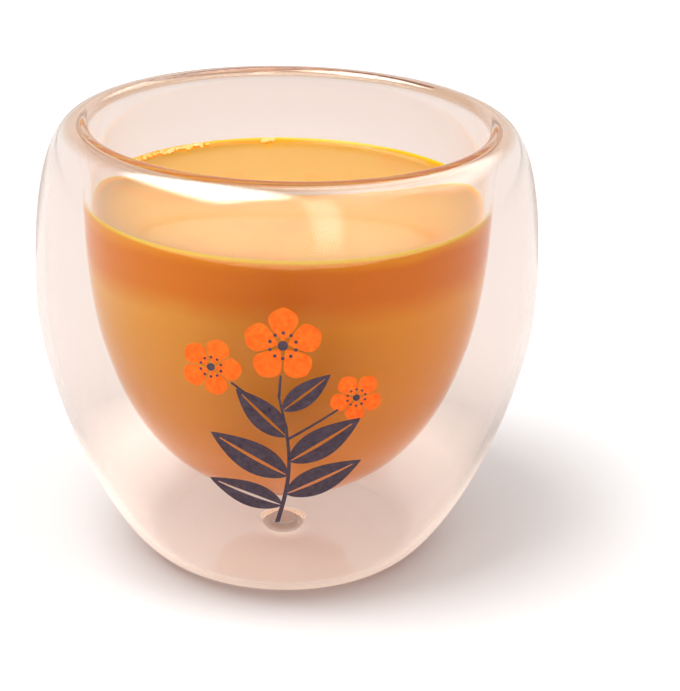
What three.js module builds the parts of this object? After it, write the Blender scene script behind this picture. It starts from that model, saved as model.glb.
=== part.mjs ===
// A double-walled glass of tea: two blown walls joined by a fused lip, with the drink inside.
// Millimetres, +Z up, with the origin at the middle of the foot, on the table.
import * as THREE from 'three';

// Overall sizes
const HEIGHT = 80.6;
const MOUTH_DIAMETER = 70;
const BELLY_OVERHANG = 8.6; // how far the belly stands out past the crest of the lip
const BELLY_HEIGHT = 50.5; // where the outer wall is widest
const FOOT_DIAMETER = 46;

// Walls and the lip that joins them
const OUTER_WALL = 1.4;
const INNER_WALL = 1.4;
const LIP_ROUND = 1.4; // radius of the lip's rounding into the mouth
const JOINT_DEPTH = 1.2; // from the top of the air gap down to the joint with the two walls

// Curves of the walls
const FOOT_SWEEP = 7.5; // how far the foot runs out level before it turns up
const FLANK_FULLNESS = 0.38; // share of the belly's height over which the flank stands upright
const SHOULDER_FULLNESS = 2.45; // 2 is an ellipse, and more is squarer
const BOWL_NECK = 13; // from the crest down to where the bowl starts to draw in
const BOWL_SIDE_FULLNESS = 0.92; // share of the bowl's depth over which its side stands upright
const BOWL_FLOOR_FULLNESS = 0.31; // share of the mouth's radius over which its floor lies level
const BASE_AIR_GAP = 9; // between the base and the underside of the bowl

// Underside of the base, with the vent and its plug
const FOOT_RING_WIDTH = 5;
const RECESS_DEPTH = 1;
const RECESS_SLOPE_RUN = 12; // width of the slope from the foot ring up to the recess
const VENT_DIAMETER = 4;
const PLUG_CLEARANCE = 0.3;
const PLUG_HEAD_RIM = 2; // how far the head reaches past the vent's edge
const PLUG_TABLE_CLEARANCE = 0.3;
const PLUG_BARB_RIM = 0.5; // how far the barb reaches past the vent's edge
const PLUG_BARB_HEIGHT = 1.6;

// The drink
const TEA_BELOW_LIP = 14.9;
const TEA_CLEARANCE = 0.3;

// Fineness of the solids
const TURN_STEPS = 48;
const FLANK_STEPS = 11;
const SHOULDER_STEPS = 10;
const BOWL_STEPS = 12;
const LIP_STEPS = 4;

// Sizes worked out from those above
const mouthRadius = MOUTH_DIAMETER / 2;
const crestRadius = mouthRadius + LIP_ROUND;
const bellyRadius = crestRadius + BELLY_OVERHANG;
const footRadius = FOOT_DIAMETER / 2;
const gapTop = HEIGHT - OUTER_WALL;
const jointHeight = gapTop - JOINT_DEPTH;
const bowlOuterRadius = mouthRadius + INNER_WALL;
const ventRadius = VENT_DIAMETER / 2;
const baseTop = RECESS_DEPTH + OUTER_WALL;
const bowlFloor = baseTop + BASE_AIR_GAP + INNER_WALL;
const neckFoot = HEIGHT - BOWL_NECK;
const teaLevel = HEIGHT - TEA_BELOW_LIP;

const point = (radius, height) => new THREE.Vector2(radius, height);

// A face of the shoulder: a quarter of a superellipse, upright at the belly and level at the crest,
// `inset` inside the outer one.
class Shoulder extends THREE.Curve {
  constructor(inset) {
    super();
    this.overhang = BELLY_OVERHANG - inset;
    this.rise = HEIGHT - BELLY_HEIGHT - inset;
  }

  getPoint(share, target = new THREE.Vector2()) {
    const angle = (share * Math.PI) / 2;
    const across = Math.max(Math.cos(angle), 0) ** (2 / SHOULDER_FULLNESS);
    const up = Math.sin(angle) ** (2 / SHOULDER_FULLNESS);
    return target.set(crestRadius + this.overhang * across, BELLY_HEIGHT + this.rise * up);
  }

  heightAt(radius) {
    const across = Math.max(radius - crestRadius, 0) / this.overhang;
    return BELLY_HEIGHT + this.rise * (1 - across ** SHOULDER_FULLNESS) ** (1 / SHOULDER_FULLNESS);
  }
}

// The flank: level where it leaves the foot, upright at the belly.
const flank = new THREE.CubicBezierCurve(
  point(footRadius, 0),
  point(footRadius + FOOT_SWEEP, 0),
  point(bellyRadius, BELLY_HEIGHT * (1 - FLANK_FULLNESS)),
  point(bellyRadius, BELLY_HEIGHT),
);
const shoulder = new Shoulder(0);
const shoulderInside = new Shoulder(OUTER_WALL);

// The bowl's inside: level at the middle of its floor, upright at the foot of its neck.
const bowlInside = new THREE.CubicBezierCurve(
  point(0, bowlFloor),
  point(mouthRadius * BOWL_FLOOR_FULLNESS, bowlFloor),
  point(mouthRadius, neckFoot - (neckFoot - bowlFloor) * BOWL_SIDE_FULLNESS),
  point(mouthRadius, neckFoot),
);

// Points along a curve that runs upwards, each moved sideways by `offset`: outwards if it is positive.
function trace(curve, steps, offset = 0) {
  const points = [];
  for (let step = 0; step <= steps; step += 1) {
    const tangent = curve.getTangent(step / steps);
    const outwards = point(tangent.y, -tangent.x);
    points.push(curve.getPoint(step / steps).addScaledVector(outwards, offset));
  }
  return points;
}

// Cuts a rising profile in two at a height. Both halves hold the point on the cut.
function splitAtHeight(profile, height) {
  const above = profile.findIndex((entry) => entry.y > height);
  const before = profile[above - 1];
  const after = profile[above];
  const cut = before.clone().lerp(after, (height - before.y) / (after.y - before.y));
  cut.y = height;
  return { lower: [...profile.slice(0, above), cut], upper: [cut.clone(), ...profile.slice(above)] };
}

// Turns a closed profile about the Z axis.
function turn(profile) {
  return new THREE.LatheGeometry(profile, TURN_STEPS).rotateX(Math.PI / 2);
}

// Clear blown glass with a faint warm tint.
function glass() {
  return new THREE.MeshStandardMaterial({
    color: '#fbf4f0',
    roughness: 0.03,
    metalness: 0,
    transparent: true,
    opacity: 0.35,
  });
}

// Outside and inside faces of the outer wall, from the foot to the crest, cut at the lip's joint.
function outerFaces() {
  const outside = [...trace(flank, FLANK_STEPS), ...trace(shoulder, SHOULDER_STEPS).slice(1)];
  const inside = [
    ...trace(flank, FLANK_STEPS, -OUTER_WALL),
    ...trace(shoulderInside, SHOULDER_STEPS).slice(1),
  ];
  return {
    outside: splitAtHeight(outside, jointHeight),
    inside: splitAtHeight(inside, jointHeight),
  };
}

// The blown outer wall, with a flat ring to stand on and a vent in its recessed base.
function outerWall(faces) {
  const ringInner = footRadius - FOOT_RING_WIDTH;
  const recessRadius = ringInner - RECESS_SLOPE_RUN;
  const profile = [
    point(ventRadius, RECESS_DEPTH),
    point(recessRadius, RECESS_DEPTH),
    point(ringInner, 0),
    ...faces.outside.lower,
    ...faces.inside.lower.toReversed(),
    point(ringInner, OUTER_WALL),
    point(recessRadius, baseTop),
    point(ventRadius, baseTop),
    point(ventRadius, RECESS_DEPTH),
  ];
  const mesh = new THREE.Mesh(turn(profile), glass());
  mesh.name = 'outer_wall';
  return mesh;
}

// The bowl's face from the middle of its floor up its neck to the lip's joint, moved out by `offset`.
function bowlFace(offset) {
  const face = [...trace(bowlInside, BOWL_STEPS, offset), point(mouthRadius + offset, jointHeight)];
  face[0].x = 0;
  return face;
}

// The blown inner bowl, open at the lip's joint.
function innerBowl() {
  const profile = [...bowlFace(INNER_WALL), ...bowlFace(0).toReversed()];
  const mesh = new THREE.Mesh(turn(profile), glass());
  mesh.name = 'inner_bowl';
  return mesh;
}

// The lip: it rounds into the mouth, seats on both walls and closes the top of the air gap.
function fusedLip(faces) {
  const rounding = new THREE.EllipseCurve(
    crestRadius, HEIGHT - LIP_ROUND, LIP_ROUND, LIP_ROUND, Math.PI / 2, Math.PI,
  );
  const roof = faces.inside.upper.filter((entry) => entry.x > bowlOuterRadius);
  const profile = [
    ...faces.outside.upper,
    ...rounding.getPoints(LIP_STEPS).slice(1),
    point(mouthRadius, jointHeight),
    point(bowlOuterRadius, jointHeight),
    point(bowlOuterRadius, shoulderInside.heightAt(bowlOuterRadius)),
    ...roof.toReversed(),
    faces.outside.upper[0].clone(),
  ];
  const mesh = new THREE.Mesh(turn(profile), glass());
  mesh.name = 'fused_lip';
  return mesh;
}

// The silicone plug: its head lies in the recess, and its barb holds it from inside the air gap.
function ventPlug() {
  const stemRadius = ventRadius - PLUG_CLEARANCE;
  const headRadius = ventRadius + PLUG_HEAD_RIM;
  const barbRadius = ventRadius + PLUG_BARB_RIM;
  const barbFoot = baseTop + PLUG_CLEARANCE;
  const profile = [
    point(0, PLUG_TABLE_CLEARANCE),
    point(headRadius, PLUG_TABLE_CLEARANCE),
    point(headRadius, RECESS_DEPTH),
    point(stemRadius, RECESS_DEPTH),
    point(stemRadius, barbFoot),
    point(barbRadius, barbFoot),
    point(stemRadius, barbFoot + PLUG_BARB_HEIGHT),
    point(0, barbFoot + PLUG_BARB_HEIGHT),
  ];
  const silicone = new THREE.MeshStandardMaterial({ color: '#e9e4de', roughness: 0.6, metalness: 0 });
  const mesh = new THREE.Mesh(turn(profile), silicone);
  mesh.name = 'vent_plug';
  return mesh;
}

// The drink: it fills the bowl to its level, a clearance short of the glass.
function tea() {
  const side = splitAtHeight(bowlFace(-TEA_CLEARANCE), teaLevel).lower;
  const milkTea = new THREE.MeshStandardMaterial({ color: '#e59a4c', roughness: 0.12, metalness: 0 });
  const mesh = new THREE.Mesh(turn([...side, point(0, teaLevel)]), milkTea);
  mesh.name = 'tea';
  return mesh;
}

const faces = outerFaces();
const teaGlass = new THREE.Group();
teaGlass.add(outerWall(faces), innerBowl(), fusedLip(faces), ventPlug(), tea());

export default teaGlass;
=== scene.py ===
"""Looks of a double-walled glass of milky tea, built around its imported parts.

Lengths are metres in the part's frame: +Z up, the origin at the middle of the foot, and the print on
the -Y side.
"""

import logging
import math
import random
from collections.abc import Callable, Sequence
from dataclasses import dataclass
from enum import Enum

import bmesh
import bpy
from bpy.types import AreaLight, Collection, Material, Node, NodeSocket, NodeTree, Object
from mathutils import Matrix, Vector

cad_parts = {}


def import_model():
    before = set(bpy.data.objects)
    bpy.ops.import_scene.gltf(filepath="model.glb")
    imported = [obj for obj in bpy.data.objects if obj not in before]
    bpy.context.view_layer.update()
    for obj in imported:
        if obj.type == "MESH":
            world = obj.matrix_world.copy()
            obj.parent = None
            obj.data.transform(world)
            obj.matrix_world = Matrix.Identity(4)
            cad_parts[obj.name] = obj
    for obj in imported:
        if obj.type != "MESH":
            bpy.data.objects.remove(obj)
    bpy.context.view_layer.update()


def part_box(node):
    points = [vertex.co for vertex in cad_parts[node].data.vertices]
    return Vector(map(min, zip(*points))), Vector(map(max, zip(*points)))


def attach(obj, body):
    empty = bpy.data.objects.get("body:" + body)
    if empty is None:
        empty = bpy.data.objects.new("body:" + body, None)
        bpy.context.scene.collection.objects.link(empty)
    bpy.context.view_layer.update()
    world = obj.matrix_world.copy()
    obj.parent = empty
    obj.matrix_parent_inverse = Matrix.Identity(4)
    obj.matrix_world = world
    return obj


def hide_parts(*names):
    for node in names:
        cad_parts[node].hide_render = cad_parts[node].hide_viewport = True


MM = 0.001
FULL_TURN = 2 * math.pi
WELD = 0.002 * MM  # vertices nearer than this are one
SPIN_STEPS = 144
BODY = "root"  # the glass has no joints, so every piece rides on its one body
CREASE = math.radians(40)  # edges sharper than this stay crisp
SAME_ROW = 0.2  # share of a row's height within which vertices belong to it
SKIMMING = (0.4, 0.95)  # slants at which glass starts to shade a lamp, and shades it most

Point = tuple[float, float]  # radius and height on a turned profile
Curve = tuple[Point, Point, Point, Point]  # two ends with their handles between them
Stops = Sequence[tuple[float, str]]  # positions from 0 to 1 with hex colours, in order
Colour = tuple[float, float, float, float]

log = logging.getLogger("tea_glass")


class Slot(Enum):
    """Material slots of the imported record."""

    GLASS = "borosilicate_glass"
    SILICONE = "silicone"
    TEA = "milk_tea"


class Side(Enum):
    """Which way a leaf leans from the stem."""

    LEFT = -1
    RIGHT = 1


def linear(code: str) -> Colour:
    """Turns an sRGB hex colour into linear light.

    Args:
        code: Six hex digits after a hash sign.

    Returns:
        Linear red, green, blue and an alpha of 1.
    """
    shares = [int(code[i:i + 2], 16) / 255 for i in (1, 3, 5)]
    red, green, blue = (s / 12.92 if s <= 0.04045 else ((s + 0.055) / 1.055) ** 2.4 for s in shares)
    return red, green, blue, 1.0


def add_node(
    tree: NodeTree,
    kind: str,
    settings: dict[str, object] | None = None,
    values: dict[str | int, object] | None = None,
    links: dict[str | int, NodeSocket] | None = None,
) -> Node:
    """Adds one node to a tree.

    Args:
        tree: The node tree.
        kind: The node's type name.
        settings: Properties of the node.
        values: Constants for its input sockets, by name or place.
        links: Sockets that feed its inputs, by name or place.

    Returns:
        The new node.
    """
    node = tree.nodes.new(kind)
    for name, value in (settings or {}).items():
        setattr(node, name, value)
    for name, value in (values or {}).items():
        node.inputs[name].default_value = value
    for name, source in (links or {}).items():
        tree.links.new(source, node.inputs[name])
    return node


def new_material(name: str) -> tuple[Material, NodeTree]:
    """Makes a material with an empty node tree.

    Args:
        name: What the real material is called.

    Returns:
        The material and its tree.
    """
    material = bpy.data.materials.new(name)
    material.use_nodes = True
    material.node_tree.nodes.clear()
    return material, material.node_tree


def set_ramp(node: Node, stops: Stops) -> None:
    """Sets a colour ramp's stops.

    Args:
        node: The ColorRamp node.
        stops: Positions from 0 to 1 with hex colours, in order.
    """
    elements = node.color_ramp.elements
    while len(elements) < len(stops):
        elements.new(1.0)
    for element, (position, code) in zip(elements, stops):
        element.position = position
        element.color = linear(code)


def speckle(
    tree: NodeTree, values: dict[str, float], stops: Stops,
) -> tuple[NodeSocket, NodeSocket]:
    """Adds a fine noise that is fixed to the piece, and its colours.

    Args:
        tree: The material's tree.
        values: The noise's scale and detail.
        stops: Colours from its lowest to its highest.

    Returns:
        The noise's height and its colour.
    """
    place = add_node(tree, "ShaderNodeTexCoord")
    noise = add_node(tree, "ShaderNodeTexNoise", values=values, links={"Vector": place.outputs["Object"]})
    tone = add_node(tree, "ShaderNodeValToRGB", links={"Fac": noise.outputs["Fac"]})
    set_ramp(tone, stops)
    return noise.outputs["Fac"], tone.outputs["Color"]


def let_light_through(
    tree: NodeTree, clear: NodeSocket, tint: str, grazed: str,
) -> None:
    """Ends a clear material's tree so that light from lamps and bright surfaces goes straight through it.

    Args:
        tree: The material's tree.
        clear: Its shader as it is seen.
        tint: What one face leaves of the light that meets it square on.
        grazed: What it leaves of light that skims it.
    """
    path = add_node(tree, "ShaderNodeLightPath")
    slant = add_node(tree, "ShaderNodeLayerWeight", values={"Blend": 0.5})
    left = add_node(tree, "ShaderNodeValToRGB", links={"Fac": slant.outputs["Facing"]})
    set_ramp(left, [(0.0, tint), (SKIMMING[0], tint), (SKIMMING[1], grazed)])
    straight = add_node(tree, "ShaderNodeBsdfTransparent", links={"Color": left.outputs["Color"]})
    for kind in ("Is Diffuse Ray", "Is Shadow Ray"):
        links = {0: path.outputs[kind], 1: clear, 2: straight.outputs["BSDF"]}
        clear = add_node(tree, "ShaderNodeMixShader", links=links).outputs["Shader"]
    add_node(tree, "ShaderNodeOutputMaterial", links={"Surface": clear})


@dataclass(frozen=True)
class BorosilicateGlass:
    """Blown borosilicate: fire-polished, so mirror-smooth, with a faint warm tint, a painted glow of its own
    and a painted shade over the lip.
    """

    tint: str = "#FBF7F5"
    painted_lip_shade: str = "#DDBA9E"  # painted shade: a browner tint over the top of the lip, for its dark band
    lip_band: tuple[float, float] = (0.978, 0.992)  # shares of the height over which the painted shade sets in
    lamp_tint: str = "#F8F7F6"
    lamp_grazed: str = "#757170"
    glow: str = "#FFB795"  # painted glow: a faint warm light that the glass gives off itself, in place of light the wall carries along inside
    painted_glow_strength: float = 0.005
    sheen: str = "#8E857A"  # how strongly it mirrors the studio when met square on
    flank_sheen: str = "#FFFFFF"  # and low on the flank, over the pale table
    flank_top: float = 34 * MM
    flank_share: float = 0.3  # of the flank's height that mirrors fully
    neck_sheen: str = "#CFC4B4"  # and above the drink
    neck: float = 68 * MM
    neck_fade: float = 0.04  # share of the height over which that sets in
    crest: float = 80.6 * MM
    ior: float = 1.473

    def make(self) -> Material:
        """Returns clear glass that lets lamps through to the drink behind it."""
        material, tree = new_material("blown_borosilicate_glass")
        place = add_node(tree, "ShaderNodeTexCoord")
        axes = add_node(tree, "ShaderNodeSeparateXYZ", links={"Vector": place.outputs["Object"]})
        height = add_node(
            tree, "ShaderNodeMapRange", values={"From Max": self.crest}, links={"Value": axes.outputs["Z"]},
        )
        mirrored = add_node(tree, "ShaderNodeValToRGB", links={"Fac": height.outputs["Result"]})
        flank, neck = self.flank_top / self.crest, self.neck / self.crest
        set_ramp(
            mirrored,
            [(self.flank_share * flank, self.flank_sheen), (flank, self.sheen), (neck, self.sheen),
             (neck + self.neck_fade, self.neck_sheen)],
        )
        tinted = add_node(tree, "ShaderNodeValToRGB", links={"Fac": height.outputs["Result"]})
        # painted shade: browner over the top of the lip
        set_ramp(tinted, list(zip(self.lip_band, (self.tint, self.painted_lip_shade))))
        clear = add_node(
            tree, "ShaderNodeBsdfPrincipled",
            links={"Base Color": tinted.outputs["Color"], "Specular Tint": mirrored.outputs["Color"]},
            values={
                "Roughness": 0.0, "IOR": self.ior, "Transmission Weight": 1.0,
                # painted glow: the glass gives off a faint light of its own
                "Emission Color": linear(self.glow), "Emission Strength": self.painted_glow_strength,
            },
        )
        let_light_through(tree, clear.outputs["BSDF"], self.lamp_tint, self.lamp_grazed)
        return material


@dataclass(frozen=True)
class MilkTea:
    """Black tea with milk: cloudy orange-brown, paler and yellower where it thins at the glass, with painted
    shade towards the bottom, a painted shadow of the lip under its surface and painted light on its left
    side.
    """

    # painted shade: the tea darker towards the bottom
    painted_shade_low: str = "#E88114"
    body: str = "#FFA026"
    lit_side_body: str = "#FFB446"  # painted light: paler on the left, where the key light falls
    lip_shadow: str = "#F08006"  # painted shadow of the lip: a darker, redder band under the surface
    # painted light on the painted lip shadow, on the left
    lit_side_lip_shadow: str = "#F48C0A"
    surface: str = "#D89C30"
    film: str = "#FFD020"
    rim: str = "#FFA008"  # under the film
    brim: str = "#FFA004"  # where it thins towards its edge on the glass
    lip_shadow_depth: float = 8.5 * MM
    lip_shadow_blend: tuple[float, float] = (-0.05, 0.04)  # shares of the depth over which it sets in
    top_start: float = 0.97  # share of the depth at which the colour of the top sets in
    # Shares of the rise, past the edge, at which the tea is thin, the rim ends and the film is full
    thinning: tuple[float, float, float] = (0.2, 0.3, 0.6)
    scatter: float = 0.8 * MM
    swirl: float = 22 * MM  # width of a drift of milk
    waver: float = 2 * MM  # how far the drifts move its bands up and down
    lit_side_span: tuple[float, float] = (-30 * MM, 8 * MM)  # painted light: from the left edge, where it is full, to where it ends

    def make(
        self, name: str, top: str, gloss: float, edge: float, low: float, level: float, rise: float,
    ) -> Material:
        """Builds the drink's material.

        Args:
            name: The material's name.
            top: Its colour at the surface.
            gloss: Specular level: none where it wets the glass.
            edge: Share of the rise at which the yellow film starts.
            low: Height of the bottom of the tea.
            level: Height of its still surface.
            rise: How far it climbs the glass above that.

        Returns:
            The material.
        """
        material, tree = new_material(name)
        place = add_node(tree, "ShaderNodeTexCoord")
        axes = add_node(tree, "ShaderNodeSeparateXYZ", links={"Vector": place.outputs["Object"]})
        drift = add_node(
            tree, "ShaderNodeTexNoise",
            values={"Scale": 1 / self.swirl, "Detail": 3.0, "Roughness": 0.5, "Distortion": 0.6},
            links={"Vector": place.outputs["Object"]},
        )
        wander = add_node(
            tree, "ShaderNodeMapRange",
            values={"To Min": -self.waver, "To Max": self.waver}, links={"Value": drift.outputs["Fac"]},
        )
        height = add_node(
            tree, "ShaderNodeMath", settings={"operation": "ADD"},
            links={0: axes.outputs["Z"], 1: wander.outputs["Result"]},
        )
        share = add_node(
            tree, "ShaderNodeMapRange",
            values={"From Min": low, "From Max": level}, links={"Value": height.outputs["Value"]},
        )
        # painted light: the tea paler and yellower on its left side, towards the key light
        lit_side_share = add_node(
            tree, "ShaderNodeMapRange", links={"Value": axes.outputs["X"]},
            values={"From Min": self.lit_side_span[0], "From Max": self.lit_side_span[1]},
        )
        depth = add_node(
            tree, "ShaderNodeMix", settings={"data_type": "RGBA"},
            links={"Factor": lit_side_share.outputs["Result"]},
        )
        # share of the depth at which the painted lip shadow starts
        clear = 1 - self.lip_shadow_depth / (level - low)
        sides = {"A": (self.lit_side_body, self.lit_side_lip_shadow), "B": (self.body, self.lip_shadow)}
        for socket, (body, lip_shadow) in sides.items():
            ramp = add_node(tree, "ShaderNodeValToRGB", links={"Fac": share.outputs["Result"]})
            set_ramp(
                # painted shade darker towards the bottom, and the painted lip shadow under the top
                ramp,
                [(0.0, self.painted_shade_low), (clear + self.lip_shadow_blend[0], body),
                 (clear + self.lip_shadow_blend[1], lip_shadow), (self.top_start, lip_shadow), (1.0, top)],
            )
            tree.links.new(ramp.outputs["Color"], depth.inputs[socket])
        climbed = add_node(
            tree, "ShaderNodeMapRange", values={"From Min": level, "From Max": level + rise},
            links={"Value": axes.outputs["Z"]},
        )
        thin = add_node(
            tree, "ShaderNodeMapRange", values={"From Min": edge, "From Max": edge + self.thinning[0]},
            links={"Value": climbed.outputs["Result"]},
        )
        wet = add_node(tree, "ShaderNodeValToRGB", links={"Fac": climbed.outputs["Result"]})
        set_ramp(wet, [(edge + self.thinning[1], self.rim), (edge + self.thinning[2], self.film)])
        colour = add_node(
            tree, "ShaderNodeMix", settings={"data_type": "RGBA"},
            links={
                "Factor": thin.outputs["Result"], "A": depth.outputs["Result"], "B": wet.outputs["Color"],
            },
        )
        shader = add_node(
            tree, "ShaderNodeBsdfPrincipled",
            values={
                "Roughness": 0.06, "IOR": 1.34, "Specular IOR Level": gloss, "Subsurface Weight": 0.4,
                "Subsurface Radius": (1.0, 0.45, 0.15), "Subsurface Scale": self.scatter,
            },
            links={"Base Color": colour.outputs["Result"]},
        )
        add_node(tree, "ShaderNodeOutputMaterial", links={"Surface": shader.outputs["BSDF"]})
        return material


@dataclass(frozen=True)
class Froth:
    """Bubbles of milky tea: pale, thin-skinned and glossy, with a painted glow."""

    skin: str = "#FFDE96"
    hollow: str = "#FFC050"
    glow: float = 0.2  # painted glow: light that the bubbles give off themselves, in place of light coming through the thin skins
    grain: float = 1.2 * MM

    def make(self) -> Material:
        """Returns the bubbles' material."""
        material, tree = new_material("tea_froth")
        noise = {"Scale": 1 / self.grain, "Detail": 2.0}
        _, tone = speckle(tree, noise, [(0.35, self.hollow), (0.65, self.skin)])
        shader = add_node(
            tree, "ShaderNodeBsdfPrincipled",
            values={
                "Roughness": 0.12, "IOR": 1.34, "Subsurface Weight": 0.5,
                "Subsurface Radius": (1.0, 0.6, 0.3), "Subsurface Scale": 1.0 * MM,
                # painted glow of the thin skins
                "Emission Color": linear(self.hollow), "Emission Strength": self.glow,
            },
            links={"Base Color": tone},
        )
        add_node(tree, "ShaderNodeOutputMaterial", links={"Surface": shader.outputs["BSDF"]})
        return material


@dataclass(frozen=True)
class EnamelInk:
    """Screen-printed enamel, fired on: satin, with a faint unevenness of the squeegee's film."""

    name: str
    full: str
    thin: str
    mottle: float = 0.9 * MM  # size of a patch of thinner ink

    def make(self) -> Material:
        """Returns the ink's material."""
        material, tree = new_material(self.name)
        noise = {"Scale": 1 / self.mottle, "Detail": 4.0, "Roughness": 0.65}
        patch, tone = speckle(tree, noise, [(0.3, self.full), (0.75, self.thin)])
        gloss = add_node(
            tree, "ShaderNodeMapRange", values={"To Min": 0.35, "To Max": 0.6}, links={"Value": patch},
        )
        shader = add_node(
            tree, "ShaderNodeBsdfPrincipled", values={"IOR": 1.5, "Specular IOR Level": 0.15},
            links={"Base Color": tone, "Roughness": gloss.outputs["Result"]},
        )
        add_node(tree, "ShaderNodeOutputMaterial", links={"Surface": shader.outputs["BSDF"]})
        return material


@dataclass(frozen=True)
class Silicone:
    """Moulded silicone: milky white, with the fine texture of its mould."""

    pale: str = "#FBF3EC"
    grey: str = "#F1E7DF"
    grain: float = 0.35 * MM

    def make(self) -> Material:
        """Returns the plug's material."""
        material, tree = new_material("moulded_silicone")
        noise = {"Scale": 1 / self.grain, "Detail": 3.0}
        speck, tone = speckle(tree, noise, [(0.3, self.grey), (0.7, self.pale)])
        bump = add_node(
            tree, "ShaderNodeBump", values={"Strength": 0.15, "Distance": 0.02 * MM}, links={"Height": speck},
        )
        shader = add_node(
            tree, "ShaderNodeBsdfPrincipled",
            values={
                "Roughness": 0.55, "IOR": 1.41, "Specular IOR Level": 0.2, "Subsurface Weight": 0.6,
                "Subsurface Radius": (1.0, 0.9, 0.8), "Subsurface Scale": 2.0 * MM,
            },
            links={"Base Color": tone, "Normal": bump.outputs["Normal"]},
        )
        add_node(tree, "ShaderNodeOutputMaterial", links={"Surface": shader.outputs["BSDF"]})
        return material


def bezier(ends: Curve, share: float) -> tuple[Point, Point]:
    """Finds a place on a cubic curve.

    Args:
        ends: Its two ends with their two handles between them.
        share: How far along it, from 0 to 1.

    Returns:
        The point and the unit direction of travel there.
    """
    rest = 1 - share
    weights = (rest ** 3, 3 * rest ** 2 * share, 3 * rest * share ** 2, share ** 3)
    at = tuple(sum(w * p[axis] for w, p in zip(weights, ends)) for axis in (0, 1))
    slopes = (rest ** 2, 2 * rest * share, share ** 2)
    legs = [(b[0] - a[0], b[1] - a[1]) for a, b in zip(ends, ends[1:])]
    way = [sum(w * leg[axis] for w, leg in zip(slopes, legs)) for axis in (0, 1)]
    length = math.hypot(*way)
    return at, (way[0] / length, way[1] / length)


def trace(ends: Curve, steps: int, offset: float = 0.0) -> list[Point]:
    """Samples a rising cubic curve, moved sideways.

    Args:
        ends: The curve's ends and handles.
        steps: How many lengths to cut it into.
        offset: How far to move it away from the axis side, or towards it if negative.

    Returns:
        The points in order.
    """
    points = []
    for step in range(steps + 1):
        at, way = bezier(ends, step / steps)
        points.append((at[0] + way[1] * offset, at[1] - way[0] * offset))
    return points


def arc(centre: Point, radius: float, start: float, end: float, steps: int) -> list[Point]:
    """Samples an arc.

    Args:
        centre: Its centre.
        radius: Its radius.
        start: First angle in degrees from the outward level.
        end: Last angle.
        steps: How many lengths to cut it into.

    Returns:
        The points in order.
    """
    angles = [math.radians(start + (end - start) * step / steps) for step in range(steps + 1)]
    return [(centre[0] + radius * math.cos(a), centre[1] + radius * math.sin(a)) for a in angles]


def start_vertex(name: str, place: Point) -> Object:
    """Adds a mesh of one vertex on the XZ plane and leaves it selected in edit mode.

    Args:
        name: The new object's name.
        place: Radius and height of the vertex.

    Returns:
        The object, at the origin.
    """
    bpy.ops.object.select_all(action="DESELECT")
    bpy.ops.mesh.primitive_plane_add(size=MM, location=(place[0], 0, place[1]))
    piece = bpy.context.object
    piece.name = piece.data.name = name
    bpy.ops.object.transform_apply()
    bpy.ops.object.mode_set(mode="EDIT")
    bpy.ops.mesh.select_all(action="SELECT")
    bpy.ops.mesh.merge(type="CENTER")
    return piece


def turn_profile(name: str, profile: list[Point], steps: int = SPIN_STEPS) -> Object:
    """Draws a profile by extruding a vertex along it, then spins it about the Z axis.

    Args:
        name: The new piece's name.
        profile: Radius and height of each point, from the axis back to the axis.
        steps: Lengths that a full turn is cut into.

    Returns:
        The closed piece, smooth shaded.
    """
    piece = start_vertex(name, profile[0])
    for before, after in zip(profile, profile[1:]):
        move = (after[0] - before[0], 0, after[1] - before[1])
        bpy.ops.mesh.extrude_region_move(TRANSFORM_OT_translate={"value": move})
    bpy.ops.mesh.select_all(action="SELECT")
    bpy.ops.mesh.spin(steps=steps, angle=FULL_TURN, center=(0, 0, 0), axis=(0, 0, 1))
    bpy.ops.mesh.select_all(action="SELECT")
    bpy.ops.mesh.remove_doubles(threshold=WELD)
    bpy.ops.mesh.normals_make_consistent(inside=False)
    bpy.ops.object.mode_set(mode="OBJECT")
    bpy.ops.object.shade_smooth()
    return piece


def select_where(piece: Object, test: Callable[[Vector], bool]) -> None:
    """Selects vertices of the piece in edit mode by their place.

    Args:
        piece: The piece.
        test: Says whether a place is wanted.
    """
    mesh = bmesh.from_edit_mesh(piece.data)
    for vertex in mesh.verts:
        vertex.select_set(test(vertex.co))
    mesh.select_flush_mode()
    bmesh.update_edit_mesh(piece.data)


def select_only(pieces: list[Object]) -> None:
    """Selects pieces alone.

    Args:
        pieces: The pieces, of which the first becomes the active one.
    """
    bpy.ops.object.select_all(action="DESELECT")
    for piece in pieces:
        piece.select_set(True)
    bpy.context.view_layer.objects.active = pieces[0]


def copy_of(source: Object) -> Object:
    """Copies an object into the scene.

    Args:
        source: The object.

    Returns:
        The copy, with its own mesh.
    """
    copy = source.copy()
    copy.data = source.data.copy()
    bpy.context.collection.objects.link(copy)
    return copy


def join(name: str, parts: list[Object]) -> Object:
    """Joins parts into one piece at the origin.

    Args:
        name: The piece's name.
        parts: What it is made of.

    Returns:
        The piece.
    """
    select_only(parts)
    bpy.ops.object.join()
    bpy.ops.object.transform_apply()
    piece = bpy.context.object
    piece.name = piece.data.name = name
    return piece


def hand_over(piece: Object, material: Material, slot: Slot, *nodes: str) -> None:
    """Dresses a finished piece and fixes it to the frame.

    Args:
        piece: The finished piece.
        material: Its material.
        slot: The record's slot for it; not used.
        nodes: CAD nodes that it stands for.
    """
    piece.data.materials.clear()
    piece.data.materials.append(material)
    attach(piece, BODY)
    if nodes:
        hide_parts(*nodes)
    log.info("%s: %d faces", piece.name, len(piece.data.polygons))


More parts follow.
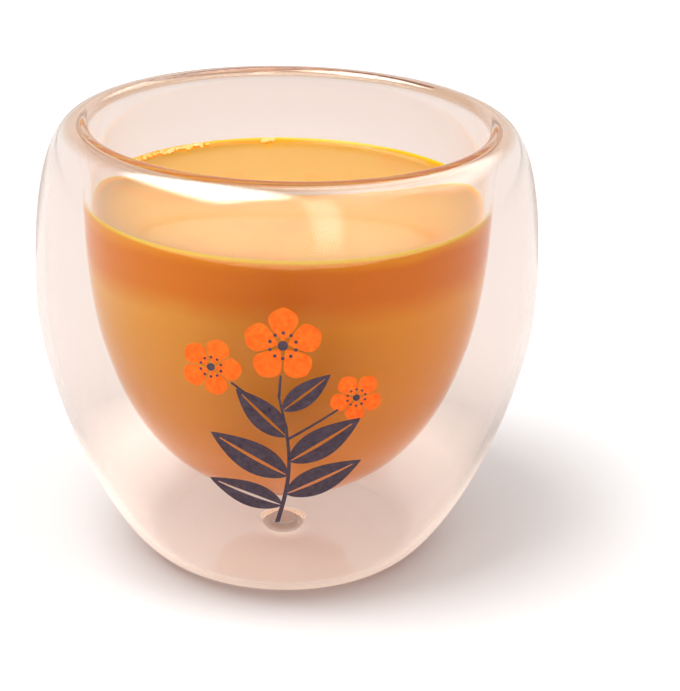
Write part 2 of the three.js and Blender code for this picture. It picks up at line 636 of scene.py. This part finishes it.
@dataclass
class GlassWalls:
    """The outer wall, the inner bowl and the fused lip, blown as one piece of glass."""

    height: float
    belly_radius: float
    bowl_radius: float  # outside of the bowl at its neck
    bowl_underside: float
    wall: float = 1.4 * MM
    lip_round: float = 1.4 * MM
    belly_height: float = 50.5 * MM
    foot_radius: float = 23 * MM
    foot_sweep: float = 7.5 * MM
    flank_fullness: float = 0.38
    shoulder_fullness: float = 2.45
    crest_crowding: float = 1.3  # how much closer the shoulder's points lie near the crest
    bowl_neck: float = 13 * MM
    bowl_side_fullness: float = 0.92
    bowl_floor_fullness: float = 0.31
    foot_ring: float = 5 * MM
    recess_depth: float = 1 * MM
    recess_run: float = 12 * MM
    vent_radius: float = 2 * MM
    vent_edge: float = 0.2 * MM
    gap_round: float = 0.8 * MM  # radius where the air gap ends under the lip
    curve_steps: int = 36
    round_steps: int = 8

    @classmethod
    def from_frame(cls) -> "GlassWalls":
        """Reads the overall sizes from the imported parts."""
        return cls(
            height=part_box("fused_lip")[1][2],
            belly_radius=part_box("outer_wall")[1][0],
            bowl_radius=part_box("inner_bowl")[1][0],
            bowl_underside=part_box("inner_bowl")[0][2],
        )

    @property
    def mouth_radius(self) -> float:
        """Radius of the opening."""
        return self.bowl_radius - self.wall

    @property
    def crest_radius(self) -> float:
        """Radius of the lip's highest line."""
        return self.mouth_radius + self.lip_round

    @property
    def bowl_curve(self) -> Curve:
        """The bowl's inside, from the middle of its floor to the foot of its neck."""
        floor = self.bowl_underside + self.wall
        top = self.height - self.bowl_neck
        return (
            (0.0, floor),
            (self.mouth_radius * self.bowl_floor_fullness, floor),
            (self.mouth_radius, top - (top - floor) * self.bowl_side_fullness),
            (self.mouth_radius, top),
        )

    @property
    def flank_curve(self) -> Curve:
        """The outside, from the edge of the foot to the belly."""
        return (
            (self.foot_radius, 0.0),
            (self.foot_radius + self.foot_sweep, 0.0),
            (self.belly_radius, self.belly_height * (1 - self.flank_fullness)),
            (self.belly_radius, self.belly_height),
        )

    def shoulder(self, inset: float, end_radius: float) -> list[Point]:
        """Samples a face of the shoulder from the belly up: a quarter of a superellipse.

        Args:
            inset: How far inside the outer face it lies.
            end_radius: The radius to stop at, at or outside the crest.

        Returns:
            The points in order, closer together near the crest.
        """
        overhang = self.belly_radius - self.crest_radius - inset
        rise = self.height - self.belly_height - inset
        last = (end_radius - self.crest_radius) / overhang
        points = []
        for step in range(self.curve_steps + 1):
            away = math.cos(step / self.curve_steps * math.pi / 2) ** self.crest_crowding
            across = last + (1 - last) * away
            up = (1 - across ** self.shoulder_fullness) ** (1 / self.shoulder_fullness)
            points.append((self.crest_radius + overhang * across, self.belly_height + rise * up))
        return points

    def base_slope(self, lift: float) -> list[Point]:
        """Samples the step from the foot ring in to the recess.

        Args:
            lift: Height above the underside.

        Returns:
            The points from the ring inwards.
        """
        ring = self.foot_radius - self.foot_ring
        points = []
        for step in range(self.round_steps + 1):
            share = step / self.round_steps
            ease = share * share * (3 - 2 * share)
            points.append((ring - self.recess_run * share, lift + self.recess_depth * ease))
        return points

    def profile(self) -> list[Point]:
        """Draws the whole section, from the bowl's floor over the lip and round to its underside."""
        inside = trace(self.bowl_curve, self.curve_steps)
        lip = arc(
            (self.crest_radius, self.height - self.lip_round), self.lip_round, 180, 90, self.round_steps,
        )
        outside = trace(self.flank_curve, self.curve_steps) + self.shoulder(0.0, self.crest_radius)[1:]
        base_top = self.recess_depth + self.wall
        edge, vent = self.vent_edge, self.vent_radius
        vent_wall = [
            (vent + edge, self.recess_depth), (vent, self.recess_depth + edge),
            (vent, base_top - edge), (vent + edge, base_top),
        ]
        roof_end = self.bowl_radius + self.gap_round
        gap = trace(self.flank_curve, self.curve_steps, -self.wall) + self.shoulder(self.wall, roof_end)[1:]
        gap_end = arc(
            (roof_end, gap[-1][1] - self.gap_round), self.gap_round, 90, 180, self.round_steps,
        )
        underside = trace(self.bowl_curve, self.curve_steps, self.wall)
        underside[0] = (0.0, underside[0][1])
        return [
            *inside, *lip, *outside[-2::-1], *self.base_slope(0.0), *vent_wall,
            *self.base_slope(self.wall)[::-1], *gap, *gap_end[1:], *underside[::-1],
        ]

    def build(self, finish: BorosilicateGlass) -> Object:
        """Turns the section into the glass.

        Args:
            finish: The glass's finish.

        Returns:
            The finished piece.
        """
        piece = turn_profile("glass_walls", self.profile())
        hand_over(piece, finish.make(), Slot.GLASS, "outer_wall", "inner_bowl", "fused_lip")
        return piece


@dataclass
class VentPlug:
    """The silicone plug that seals the vent in the base."""

    walls: GlassWalls
    low: float
    head_radius: float
    round: float = 0.3 * MM
    barb_reach: float = 0.5 * MM
    dome_height: float = 0.9 * MM  # of the low dome on the barb
    dome_radius: float = 1.6  # times the barb's
    dimple_radius: float = 1.2 * MM
    dimple_depth: float = 0.25 * MM
    squeeze: float = 0.02 * MM  # how far it is pressed into the glass, so that no air shows between them
    steps: int = 48

    @classmethod
    def from_frame(cls, walls: GlassWalls) -> "VentPlug":
        """Reads the plug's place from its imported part.

        Args:
            walls: The glass that it seals.

        Returns:
            The plug.
        """
        lowest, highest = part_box("vent_plug")
        return cls(walls, low=lowest[2], head_radius=highest[0])

    def build(self, finish: Silicone) -> Object:
        """Turns the plug: a rounded head with a moulding dimple, a stem and a barb.

        Args:
            finish: The silicone.

        Returns:
            The finished piece.
        """
        seat = self.walls.recess_depth
        stem = self.walls.vent_radius + self.squeeze
        barb_foot = seat + self.walls.wall - self.squeeze
        barb = self.walls.vent_radius + self.barb_reach
        dome = self.dome_radius * barb
        dimple = [
            (self.dimple_radius * share, self.low + self.dimple_depth * math.cos(share * math.pi / 2) ** 2)
            for share in (0.0, 0.25, 0.5, 0.75, 1.0)
        ]
        edge = arc((self.head_radius - self.round, self.low + self.round), self.round, -90, 0, 6)
        profile = [
            *dimple, *edge, (self.head_radius, seat + self.squeeze), (stem, seat + self.squeeze),
            (stem, barb_foot),
            *arc((barb - self.round, barb_foot + self.round), self.round, -90, 30, 5),
            *arc((0.0, barb_foot + self.dome_height - dome), dome, 60, 90, 8),
        ]
        piece = turn_profile("vent_plug_seal", profile, self.steps)
        bpy.ops.object.shade_smooth_by_angle(angle=CREASE)
        hand_over(piece, finish.make(), Slot.SILICONE, "vent_plug")
        return piece


@dataclass
class TeaFill:
    """The drink: it wets the bowl, climbs its wall a little and carries some froth."""

    walls: GlassWalls
    level: float
    seat: float = 0.04 * MM  # how far it is sunk in the glass, so that no air shows between them
    climb: float = 1.25 * MM
    climb_width: float = 1.0 * MM
    side_steps: int = 48
    surface_steps: int = 30
    surface_crowding: float = 2.5  # how much closer the surface's rings lie near the glass
    froth_seed: int = 11
    froth_count: int = 150
    # Arcs of the rim that the froth lies along, in degrees from the back to the left
    froth_patches: tuple[tuple[int, int], ...] = ((26, 66), (26, 66), (30, 46), (5, 9))
    bubble_size: tuple[float, float] = (0.2, 0.7)  # radii in millimetres
    bubble_stray: float = 0.22  # from the glass, in millimetres
    bubble_cut: float = 0.35 * MM  # how far below its middle a bubble of 1 mm is cut off

    @classmethod
    def from_frame(cls, walls: GlassWalls) -> "TeaFill":
        """Reads the tea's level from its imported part.

        Args:
            walls: The glass that holds it.

        Returns:
            The tea.
        """
        return cls(walls, level=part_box("tea")[1][2])

    def surface(self, radius: float) -> float:
        """Height of the tea's surface at a radius, where the wall draws it up."""
        return self.level + self.climb * math.exp((radius - self.walls.mouth_radius) / self.climb_width)

    def profile(self) -> list[Point]:
        """Draws the section from the middle of the floor up the wall and back over the surface."""
        wetted = trace(self.walls.bowl_curve, self.side_steps, self.seat)
        side = [place for place in wetted if place[1] < self.level - MM]
        side[0] = (0.0, side[0][1])
        rim = self.walls.mouth_radius
        wet = [(rim + self.seat, self.level), (rim + self.seat, self.surface(rim))]
        top = []
        for step in range(self.surface_steps + 1):
            radius = rim * (1 - (step / self.surface_steps) ** self.surface_crowding)
            top.append((radius, self.surface(radius)))
        return [*side, *wet, *top]

    def build(self, finish: MilkTea) -> Object:
        """Turns the drink.

        Args:
            finish: The tea.

        Returns:
            The finished piece.
        """
        piece = turn_profile("tea_fill", self.profile())
        span = {"low": self.walls.bowl_curve[0][1], "level": self.level, "rise": self.climb}
        tea = finish.make("milky_black_tea", finish.surface, gloss=0.35, edge=0.3, **span)
        hand_over(piece, tea, Slot.TEA, "tea")
        wet = finish.make("milky_black_tea_at_the_glass", finish.brim, gloss=0.0, edge=0.04, **span)
        piece.data.materials.append(wet)
        piece.active_material_index = 1
        bpy.ops.object.mode_set(mode="EDIT")
        wall = self.walls.mouth_radius + 0.5 * self.seat
        select_where(piece, lambda place: place.z < self.level - 0.5 * MM or place.xy.length > wall)
        bpy.ops.object.material_slot_assign()
        bpy.ops.object.mode_set(mode="OBJECT")
        return piece

    def build_froth(self, finish: Froth) -> Object:
        """Strews half-bubbles along the tea's edge at the back left.

        Args:
            finish: The froth.

        Returns:
            The finished piece.
        """
        draw = random.Random(self.froth_seed)
        bpy.ops.object.select_all(action="DESELECT")
        bpy.ops.mesh.primitive_uv_sphere_add(segments=16, ring_count=10, radius=MM)
        bubble = bpy.context.object
        bpy.ops.object.mode_set(mode="EDIT")
        bpy.ops.mesh.select_all(action="SELECT")
        bpy.ops.mesh.bisect(
            plane_co=(0, 0, -self.bubble_cut), plane_no=(0, 0, 1), clear_inner=True, use_fill=True,
        )
        bpy.ops.object.mode_set(mode="OBJECT")
        bpy.ops.object.shade_smooth()
        copies = []
        for _ in range(self.froth_count):
            angle = math.radians(90 + draw.uniform(*draw.choice(self.froth_patches)))
            size = draw.uniform(*self.bubble_size) * draw.uniform(0.6, 1.0)
            stray = abs(draw.gauss(0, self.bubble_stray)) * MM
            radius = self.walls.mouth_radius - 0.5 * size * MM - stray
            copy = copy_of(bubble)
            copy.location = (radius * math.cos(angle), radius * math.sin(angle), self.surface(radius))
            copy.scale = (size, size, size * draw.uniform(0.6, 0.9))
            copies.append(copy)
        bpy.data.objects.remove(bubble)
        froth = join("froth_bubbles", copies)
        hand_over(froth, finish.make(), Slot.TEA)
        return froth


def cut_blade(name: str, columns: int, rows: int, width_at: Callable[[float], float]) -> Object:
    """Cuts a flat blade of unit length that stands on the origin in the XZ plane.

    Args:
        name: The new object's name.
        columns: Faces across it.
        rows: Faces along it.
        width_at: Its width at a share of its length.

    Returns:
        The blade.
    """
    bpy.ops.object.select_all(action="DESELECT")
    bpy.ops.mesh.primitive_grid_add(
        x_subdivisions=columns, y_subdivisions=rows, size=1,
        location=(0, 0, 0.5), rotation=(math.pi / 2, 0, 0),
    )
    blade = bpy.context.object
    blade.name = blade.data.name = name
    bpy.ops.object.transform_apply()
    bpy.ops.object.mode_set(mode="EDIT")
    for row in range(rows + 1):
        height = row / rows
        select_where(blade, lambda place: abs(place.z - height) < SAME_ROW / rows)
        bpy.ops.transform.resize(value=(width_at(height), 1, 1), center_override=(0, 0, height))
    bpy.ops.object.mode_set(mode="OBJECT")
    return blade


@dataclass(frozen=True)
class LeafSpot:
    """Where one leaf of the print grows."""

    height: float  # of its foot, from the print's middle
    length: float
    lean: float  # degrees from upright
    side: Side


@dataclass(frozen=True)
class BlossomSpot:
    """Where one blossom of the print opens."""

    across: float
    height: float
    radius: float
    foot: float  # where its stalk leaves the stem

    def around(self, share: float, angle: float) -> Point:
        """Place at a share of the radius from its middle, at degrees to the right of upright."""
        turn = math.radians(angle)
        reach = share * self.radius
        return self.across + reach * math.sin(turn), self.height + reach * math.cos(turn)


@dataclass
class PrintedSprig:
    """A sprig printed on the front in two inks: dark stem and leaves, and orange blossoms."""

    walls: GlassWalls
    middle: float = 41 * MM  # height of the print's middle on the glass
    across: float = -1 * MM
    film: float = 0.03 * MM
    lift: float = 0.02 * MM
    stand_off: float = 60 * MM  # how far in front the flat print is drawn before it is laid on
    stem_low: float = -20 * MM
    stem_high: float = 6.2 * MM
    stem_width: float = 0.8 * MM
    stem_sway: float = 1.8 * MM
    sway_length: float = 52 * MM  # of one full sway to both sides
    stem_rows: int = 32
    leaf_breadth: float = 0.4  # share of its length
    midrib_end: float = 0.9  # share of its length at which the split closes
    stalk_width: float = 0.5 * MM
    petal_count: int = 5
    petal_turn: float = 20  # degrees by which each blossom is turned on from the last
    petal_foot: float = 0.14  # this and the next four are shares of the blossom's radius
    petal_size: tuple[float, float] = (0.72, 0.86)
    stalk_end: float = 0.8
    eye_radius: float = 0.13
    stamen_ring: float = 0.34
    stamen_count: int = 10
    stamen_radius: float = 0.35  # share of the eye's
    leaf_spots: tuple[LeafSpot, ...] = (
        LeafSpot(-16 * MM, 13 * MM, 68, Side.LEFT),
        LeafSpot(-13.5 * MM, 14 * MM, 62, Side.RIGHT),
        LeafSpot(-9.5 * MM, 15 * MM, 58, Side.LEFT),
        LeafSpot(-6.5 * MM, 14 * MM, 55, Side.RIGHT),
        LeafSpot(-1.5 * MM, 12 * MM, 44, Side.LEFT),
        LeafSpot(3.5 * MM, 10 * MM, 50, Side.RIGHT),
    )
    blossom_spots: tuple[BlossomSpot, ...] = (
        BlossomSpot(0.5 * MM, 15 * MM, 6.4 * MM, 6 * MM),
        BlossomSpot(-11 * MM, 10.5 * MM, 5 * MM, 2 * MM),
        BlossomSpot(12.5 * MM, 5.5 * MM, 4.4 * MM, -2 * MM),
    )

    def stem_at(self, height: float) -> float:
        """How far to the right the stem has swayed at a height."""
        return self.stem_sway * math.sin((height - self.stem_low) / self.sway_length * FULL_TURN)

    def set_down(
        self, motif: Object, place: Point, size: tuple[float, float], turn: float,
    ) -> Object:
        """Copies a flat motif into the print.

        Args:
            motif: The motif, a unit high.
            place: Where its foot goes, from the print's middle.
            size: Its scale across and up.
            turn: Degrees to lean it to the right.

        Returns:
            The copy.
        """
        copy = copy_of(motif)
        copy.location = (self.across + place[0], -self.stand_off, self.middle + place[1])
        copy.rotation_euler = (0, math.radians(turn), 0)
        copy.scale = (size[0], 1, size[1])
        return copy

    def lay_on(
        self, name: str, parts: list[Object], glass: Object, lift: float,
    ) -> Object:
        """Joins motifs of one ink and lays them on the outer wall.

        Args:
            name: The print's name.
            parts: The flat motifs.
            glass: What they lie on.
            lift: How far they clear it.

        Returns:
            The thin print.
        """
        ink = join(name, parts)
        bpy.ops.object.mode_set(mode="EDIT")
        bpy.ops.mesh.select_all(action="SELECT")
        bpy.ops.mesh.remove_doubles(threshold=WELD)
        bpy.ops.mesh.normals_make_consistent(inside=False)
        bpy.ops.object.mode_set(mode="OBJECT")
        wrap = ink.modifiers.new("wrap", "SHRINKWRAP")
        wrap.target = glass
        wrap.wrap_method = "PROJECT"
        wrap.use_project_y = True
        wrap.use_positive_direction, wrap.use_negative_direction = True, False
        wrap.wrap_mode = "ABOVE_SURFACE"
        wrap.offset = lift
        bpy.ops.object.modifier_apply(modifier=wrap.name)
        thicken = ink.modifiers.new("thicken", "SOLIDIFY")
        thicken.thickness = self.film
        thicken.offset = 1.0
        bpy.ops.object.modifier_apply(modifier=thicken.name)
        bpy.ops.object.shade_smooth_by_angle(angle=CREASE)
        return ink

    def draw_stem(self) -> Object:
        """Draws the swaying stem, which tapers upwards."""
        rows = self.stem_rows
        stem = cut_blade("stem", 1, rows, lambda share: 1 - 0.5 * share)
        length = self.stem_high - self.stem_low
        laid = self.set_down(stem, (0, self.stem_low), (self.stem_width, length), 0)
        bpy.data.objects.remove(stem)
        select_only([laid])
        bpy.ops.object.transform_apply()
        bpy.ops.object.mode_set(mode="EDIT")
        for row in range(rows + 1):
            height = self.stem_low + length * row / rows
            reach = SAME_ROW * length / rows
            select_where(laid, lambda place: abs(place.z - self.middle - height) < reach)
            bpy.ops.transform.translate(value=(self.stem_at(height), 0, 0))
        bpy.ops.object.mode_set(mode="OBJECT")
        return laid

    def draw_leaves(self) -> list[Object]:
        """Draws the leaves, each split along its midrib."""
        leaf = cut_blade("leaf", 9, 18, lambda share: 0.02 + math.sin(math.pi * share ** 0.8) ** 0.9)
        bpy.ops.object.mode_set(mode="EDIT")
        mesh = bmesh.from_edit_mesh(leaf.data)
        for face in mesh.faces:
            middle = face.calc_center_median()
            face.select_set(abs(middle.x) < 0.001 and middle.z < self.midrib_end)
        bmesh.update_edit_mesh(leaf.data)
        bpy.ops.mesh.delete(type="FACE")
        bpy.ops.object.mode_set(mode="OBJECT")
        leaves = [
            self.set_down(
                leaf, (self.stem_at(spot.height), spot.height),
                (self.leaf_breadth * spot.length, spot.length), spot.lean * spot.side.value,
            )
            for spot in self.leaf_spots
        ]
        bpy.data.objects.remove(leaf)
        return leaves

    def draw_stalks(self) -> list[Object]:
        """Draws a stalk from the stem to each blossom."""
        stalk = cut_blade("stalk", 1, 12, lambda share: 1 - 0.3 * share)
        stalks = []
        for spot in self.blossom_spots:
            foot = self.stem_at(spot.foot)
            run, rise = spot.across - foot, spot.height - spot.foot
            length, turn = math.hypot(run, rise), math.degrees(math.atan2(run, rise))
            length -= self.stalk_end * spot.radius  # it goes behind the petals
            stalks.append(self.set_down(stalk, (foot, spot.foot), (self.stalk_width, length), turn))
        bpy.data.objects.remove(stalk)
        return stalks

    def draw_petals(self) -> list[Object]:
        """Draws the petals round each blossom."""
        petal = cut_blade("petal", 8, 12, lambda share: 0.05 + math.sin(math.pi * share ** 1.4) ** 0.7)
        petals = []
        for index, spot in enumerate(self.blossom_spots):
            size = (self.petal_size[0] * spot.radius, self.petal_size[1] * spot.radius)
            for turn in range(self.petal_count):
                angle = 360 / self.petal_count * turn + self.petal_turn * index
                petals.append(self.set_down(petal, spot.around(self.petal_foot, angle), size, angle))
        bpy.data.objects.remove(petal)
        return petals

    def draw_stamens(self) -> list[Object]:
        """Draws a ring of dots and an eye in each blossom."""
        bpy.ops.object.select_all(action="DESELECT")
        bpy.ops.mesh.primitive_circle_add(
            vertices=16, radius=1, fill_type="TRIFAN", rotation=(math.pi / 2, 0, 0),
        )
        dot = bpy.context.object
        bpy.ops.object.transform_apply()
        dots = []
        for spot in self.blossom_spots:
            eye = self.eye_radius * spot.radius
            dots.append(self.set_down(dot, (spot.across, spot.height), (eye, eye), 0))
            size = (self.stamen_radius * eye, self.stamen_radius * eye)
            for turn in range(self.stamen_count):
                place = spot.around(self.stamen_ring, 360 / self.stamen_count * turn)
                dots.append(self.set_down(dot, place, size, 0))
        bpy.data.objects.remove(dot)
        return dots

    def build(self, glass: Object, dark: EnamelInk, bright: EnamelInk) -> None:
        """Prints the sprig.

        Args:
            glass: The glass that it is printed on.
            dark: Ink of the stem, the leaves and the stamens.
            bright: Ink of the petals.
        """
        petals = self.lay_on("print_petals", self.draw_petals(), glass, self.lift)
        hand_over(petals, bright.make(), Slot.GLASS)
        foliage = [self.draw_stem(), *self.draw_leaves(), *self.draw_stalks(), *self.draw_stamens()]
        leaves = self.lay_on("print_foliage", foliage, glass, self.lift + self.film)
        hand_over(leaves, dark.make(), Slot.GLASS)


@dataclass(frozen=True)
class Softbox:
    """An area light that looks at the glass."""

    name: str
    azimuth: float  # degrees round from the camera's side, to the right
    elevation: float  # degrees above the floor
    size: tuple[float, float]
    radiance: float  # brightness of its face
    shine: bool = False  # whether it is kept to the glass, for its highlights


@dataclass(frozen=True)
class Studio:
    """A pale floor, soft light and the camera of the photograph."""

    floor_size: float = 6.0
    floor_drop: float = 0.15 * MM
    floor: str = "#FCFCFC"
    floor_in_glass: str = "#E3DCD8"  # where it is mirrored, or seen through the walls
    # painted pool of light: the floor glows under the glass, in place of light that the glass gathers
    pool_centre: tuple[float, float, float] = (0.0, 16 * MM, 0.0)
    pool_radius: float = 58 * MM
    pool_strength: float = 0.62
    pool_stops: Stops = ((0.0, "#C6B6AB"), (0.4, "#DCCCC1"), (0.68, "#EBD9CA"), (1.0, "#000000"))
    softboxes: tuple[Softbox, ...] = (
        Softbox("key_softbox", -58, 64, (1.6, 1.6), 6.4),
        Softbox("fill_softbox", 62, 60, (1.6, 1.4), 2.5),
        Softbox("rim_softbox", 120, 56, (3.6, 3.6), 9.0, shine=True),
        Softbox("lip_softbox", -72, 64, (3.2, 2.4), 45.0, shine=True),
        Softbox("window_strip", 18, 35, (0.8, 3.4), 8.0, shine=True),
    )
    lamp_aim: float = 40 * MM  # height of the place that they look at
    lamp_distance: float = 2.5
    lamp_fade: float = 0.3  # share of a shine lamp's width over which its edge fades
    sky_stops: Stops = ((0.0, "#FFFFFF"), (0.2, "#CDCBCA"), (1.0, "#A6A4A3"))  # from the horizon up
    sky_seen: str = "#F7F3F0"  # what shows of it in and through the glass
    front_glow: float = 8.0  # how much brighter the room behind the camera is in reflections
    front_reach: float = 0.8  # how far towards the front it is brightest, where 1 is straight ahead
    glow_depth: float = 3.5  # bounces past which a reflection no longer shows it
    bounces: int = 64
    clear_bounces: int = 24
    camera_distance: float = 340 * MM
    camera_height: float = 176.93 * MM
    camera_pitch: float = 22.243
    camera_yaw: float = 1.666
    camera_roll: float = 1.607
    focal_pixels: float = 2001.8
    frame_pixels: float = 680.0
    sensor: float = 36.0

    def build(self, glass: Object) -> None:
        """Builds the floor, the lights, the sky and the camera.

        Args:
            glass: The piece that the highlight lamps are kept to.
        """
        self.lay_floor()
        self.light(glass)
        self.set_sky()
        self.place_camera()

    def lay_floor(self) -> None:
        """Lays a matt white floor just under the foot, with a painted pool of light under the glass in place
        of the light that glass gathers there.
        """
        bpy.ops.object.select_all(action="DESELECT")
        bpy.ops.mesh.primitive_plane_add(size=self.floor_size, location=(0, 0, -self.floor_drop))
        floor = bpy.context.object
        floor.name = "floor"
        material, tree = new_material("matt_white_paper")
        place = add_node(tree, "ShaderNodeTexCoord")
        away = add_node(
            tree, "ShaderNodeVectorMath", settings={"operation": "DISTANCE"},
            values={1: self.pool_centre}, links={0: place.outputs["Object"]},
        )
        share = add_node(
            tree, "ShaderNodeMapRange", values={"From Max": self.pool_radius},
            links={"Value": away.outputs["Value"]},
        )
        pool = add_node(tree, "ShaderNodeValToRGB", links={"Fac": share.outputs["Result"]})
        set_ramp(pool, self.pool_stops)
        path = add_node(tree, "ShaderNodeLightPath")
        paper = add_node(
            tree, "ShaderNodeMix", settings={"data_type": "RGBA"},
            values={"A": linear(self.floor_in_glass), "B": linear(self.floor)},
            links={"Factor": path.outputs["Is Camera Ray"]},
        )
        # painted pool of light, shown only where the floor is mirrored or seen through the walls
        painted_pool = add_node(
            tree, "ShaderNodeMix", settings={"data_type": "RGBA"}, values={"B": linear("#000000")},
            links={"Factor": path.outputs["Is Camera Ray"], "A": pool.outputs["Color"]},
        )
        shader = add_node(
            tree, "ShaderNodeBsdfPrincipled",
            values={"Roughness": 0.9, "Specular IOR Level": 0.0, "Emission Strength": self.pool_strength},
            links={"Base Color": paper.outputs["Result"], "Emission Color": painted_pool.outputs["Result"]},
        )
        add_node(tree, "ShaderNodeOutputMaterial", links={"Surface": shader.outputs["BSDF"]})
        floor.data.materials.append(material)

    def add_softbox(self, box: Softbox, shine: Collection) -> None:
        """Hangs up a softbox.

        Args:
            box: The softbox.
            shine: What it lights if it is kept to the glass.
        """
        turn, tilt = math.radians(box.azimuth), math.radians(box.elevation)
        way = Vector((math.sin(turn) * math.cos(tilt), -math.cos(turn) * math.cos(tilt), math.sin(tilt)))
        place = Vector((0, 0, self.lamp_aim)) + way * self.lamp_distance
        bpy.ops.object.light_add(type="AREA", location=place, rotation=way.to_track_quat("Z", "Y").to_euler())
        lamp = bpy.context.object
        lamp.name = box.name
        lamp.data.shape = "RECTANGLE"
        lamp.data.size, lamp.data.size_y = box.size
        lamp.data.energy = math.pi * box.size[0] * box.size[1] * box.radiance
        lamp.visible_transmission = False
        if box.shine:
            lamp.light_linking.receiver_collection = shine
            lamp.visible_camera = lamp.visible_diffuse = False
            self.soften_edges(lamp.data)

    def soften_edges(self, lamp: AreaLight) -> None:
        """Fades a softbox out towards its edges, as its cloth does.

        Args:
            lamp: The area light.
        """
        lamp.use_nodes = True
        tree = lamp.node_tree
        tree.nodes.clear()
        face = add_node(tree, "ShaderNodeNewGeometry")
        axes = add_node(tree, "ShaderNodeSeparateXYZ", links={"Vector": face.outputs["Parametric"]})
        both = add_node(tree, "ShaderNodeMath", settings={"operation": "MULTIPLY"})
        for index, axis in enumerate(("X", "Y")):
            inwards = add_node(
                tree, "ShaderNodeMath", settings={"operation": "PINGPONG"},
                values={1: 0.5}, links={0: axes.outputs[axis]},
            )
            ease = add_node(
                tree, "ShaderNodeMapRange", settings={"interpolation_type": "SMOOTHSTEP"},
                values={"From Max": self.lamp_fade}, links={"Value": inwards.outputs["Value"]},
            )
            tree.links.new(ease.outputs["Result"], both.inputs[index])
        glow = add_node(tree, "ShaderNodeEmission", links={"Strength": both.outputs["Value"]})
        add_node(tree, "ShaderNodeOutputLight", links={"Surface": glow.outputs["Emission"]})

    def light(self, glass: Object) -> None:
        """Hangs a key at the left, a fill at the right, and lamps for the glass's shine.

        Args:
            glass: The piece that the shine is kept to.
        """
        shine = bpy.data.collections.new("shine")
        shine.objects.link(glass)
        for box in self.softboxes:
            self.add_softbox(box, shine)

    def set_sky(self) -> None:
        """Sets a pale sky, brighter behind the camera in reflections, and how often light may bounce."""
        world = bpy.data.worlds.new("studio_sky")
        bpy.context.scene.world = world
        world.use_nodes = True
        tree = world.node_tree
        tree.nodes.clear()
        place = add_node(tree, "ShaderNodeTexCoord")
        axes = add_node(tree, "ShaderNodeSeparateXYZ", links={"Vector": place.outputs["Generated"]})
        height = add_node(tree, "ShaderNodeValToRGB", links={"Fac": axes.outputs["Z"]})
        set_ramp(height, self.sky_stops)
        path = add_node(tree, "ShaderNodeLightPath")
        seen = add_node(
            tree, "ShaderNodeMix", settings={"data_type": "RGBA"},
            values={"A": linear(self.sky_seen)},
            links={"Factor": path.outputs["Is Diffuse Ray"], "B": height.outputs["Color"]},
        )
        front = add_node(
            tree, "ShaderNodeMapRange",
            values={"From Min": 0.0, "From Max": -self.front_reach, "To Max": self.front_glow},
            links={"Value": axes.outputs["Y"]},
        )
        shallow = add_node(
            tree, "ShaderNodeMath", settings={"operation": "LESS_THAN"},
            values={1: self.glow_depth}, links={0: path.outputs["Ray Depth"]},
        )
        mirrored = add_node(
            tree, "ShaderNodeMath", settings={"operation": "MULTIPLY"},
            links={0: path.outputs["Is Glossy Ray"], 1: shallow.outputs["Value"]},
        )
        glow = add_node(
            tree, "ShaderNodeMath", settings={"operation": "MULTIPLY_ADD"},
            values={2: 1.0}, links={0: front.outputs["Result"], 1: mirrored.outputs["Value"]},
        )
        sky = add_node(
            tree, "ShaderNodeBackground",
            links={"Color": seen.outputs["Result"], "Strength": glow.outputs["Value"]},
        )
        add_node(tree, "ShaderNodeOutputWorld", links={"Surface": sky.outputs["Background"]})
        bpy.context.scene.view_settings.view_transform = "Standard"
        paths = bpy.context.scene.cycles
        paths.max_bounces = paths.glossy_bounces = self.bounces
        paths.transmission_bounces = paths.transparent_max_bounces = self.clear_bounces

    def place_camera(self) -> None:
        """Sets the camera where the photograph was taken from."""
        turn = (
            Matrix.Rotation(-math.radians(self.camera_yaw), 4, "Z")
            @ Matrix.Rotation(math.radians(90 - self.camera_pitch), 4, "X")
            @ Matrix.Rotation(math.radians(self.camera_roll), 4, "Z")
        )
        place = (0, -self.camera_distance, self.camera_height)
        bpy.ops.object.camera_add(location=place, rotation=turn.to_euler())
        camera = bpy.context.object
        camera.data.sensor_fit = "HORIZONTAL"
        camera.data.sensor_width = self.sensor
        camera.data.lens = self.sensor * self.focal_pixels / self.frame_pixels
        camera.data.clip_start = 0.01
        bpy.context.scene.camera = camera


def main() -> None:
    """Builds the glass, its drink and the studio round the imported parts."""
    logging.basicConfig(level=logging.INFO, format="%(name)s: %(message)s")
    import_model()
    walls = GlassWalls.from_frame()
    glass = walls.build(BorosilicateGlass())
    PrintedSprig(walls).build(
        glass,
        dark=EnamelInk("aubergine_enamel_ink", "#3A2F3B", "#5A4A55"),
        bright=EnamelInk("orange_enamel_ink", "#FF5E0E", "#FF8126"),
    )
    VentPlug.from_frame(walls).build(Silicone())
    tea = TeaFill.from_frame(walls)
    tea.build(MilkTea())
    tea.build_froth(Froth())
    Studio().build(glass)


if __name__ == "__main__":
    main()
